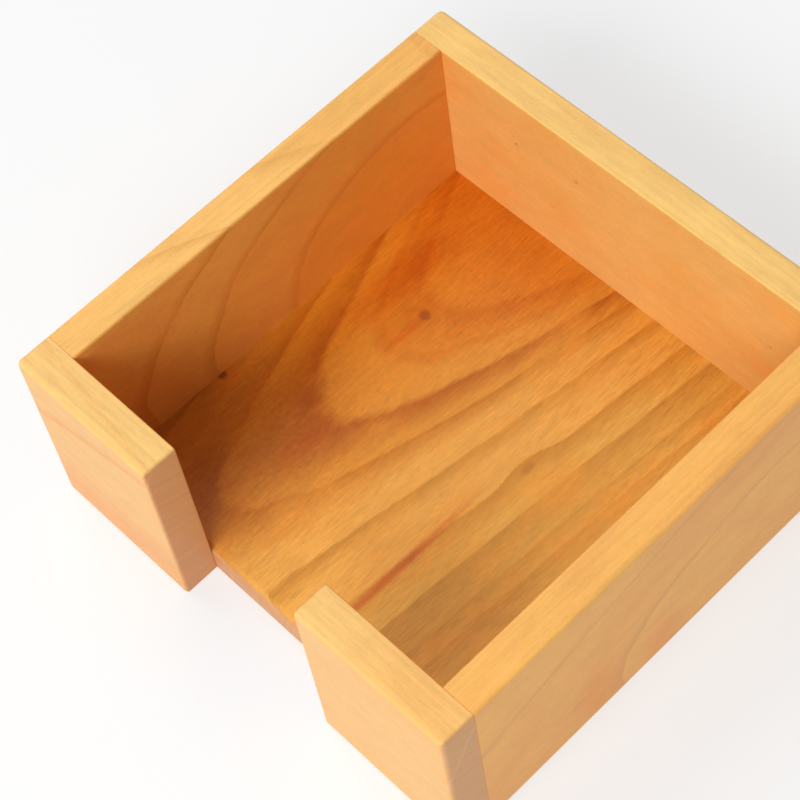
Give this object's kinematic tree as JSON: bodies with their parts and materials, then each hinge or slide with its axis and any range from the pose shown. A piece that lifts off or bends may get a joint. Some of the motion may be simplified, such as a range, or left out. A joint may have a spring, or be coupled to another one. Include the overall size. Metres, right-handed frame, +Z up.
{
  "type": "memo block holder",
  "caption": "Open square wooden tray that holds a block of loose memo sheets, with a finger notch through the front wall.",
  "frame": {"origin": "on the resting plane, under the middle of the box", "axes": "+X right seen from the notch, +Y towards the back board, +Z up"},
  "size_m": [0.11, 0.1102, 0.046],
  "materials": {
    "base_wood": "satin",
    "side_wood": "satin",
    "back_wood": "satin",
    "front_wood": "satin",
    "dowel_wood": "raw"
  },
  "bodies": {
    "root": {"base_board": "base_wood", "back_board": "back_wood", "left_side_board": "side_wood", "right_side_board": "side_wood", "front_left_board": "front_wood", "front_right_board": "front_wood", "dowel_front_left_lower": "dowel_wood", "dowel_front_left_upper": "dowel_wood", "dowel_front_right_lower": "dowel_wood", "dowel_front_right_upper": "dowel_wood", "dowel_back_left_lower": "dowel_wood", "dowel_back_left_upper": "dowel_wood", "dowel_back_right_lower": "dowel_wood", "dowel_back_right_upper": "dowel_wood"}
  },
  "joints": []
}
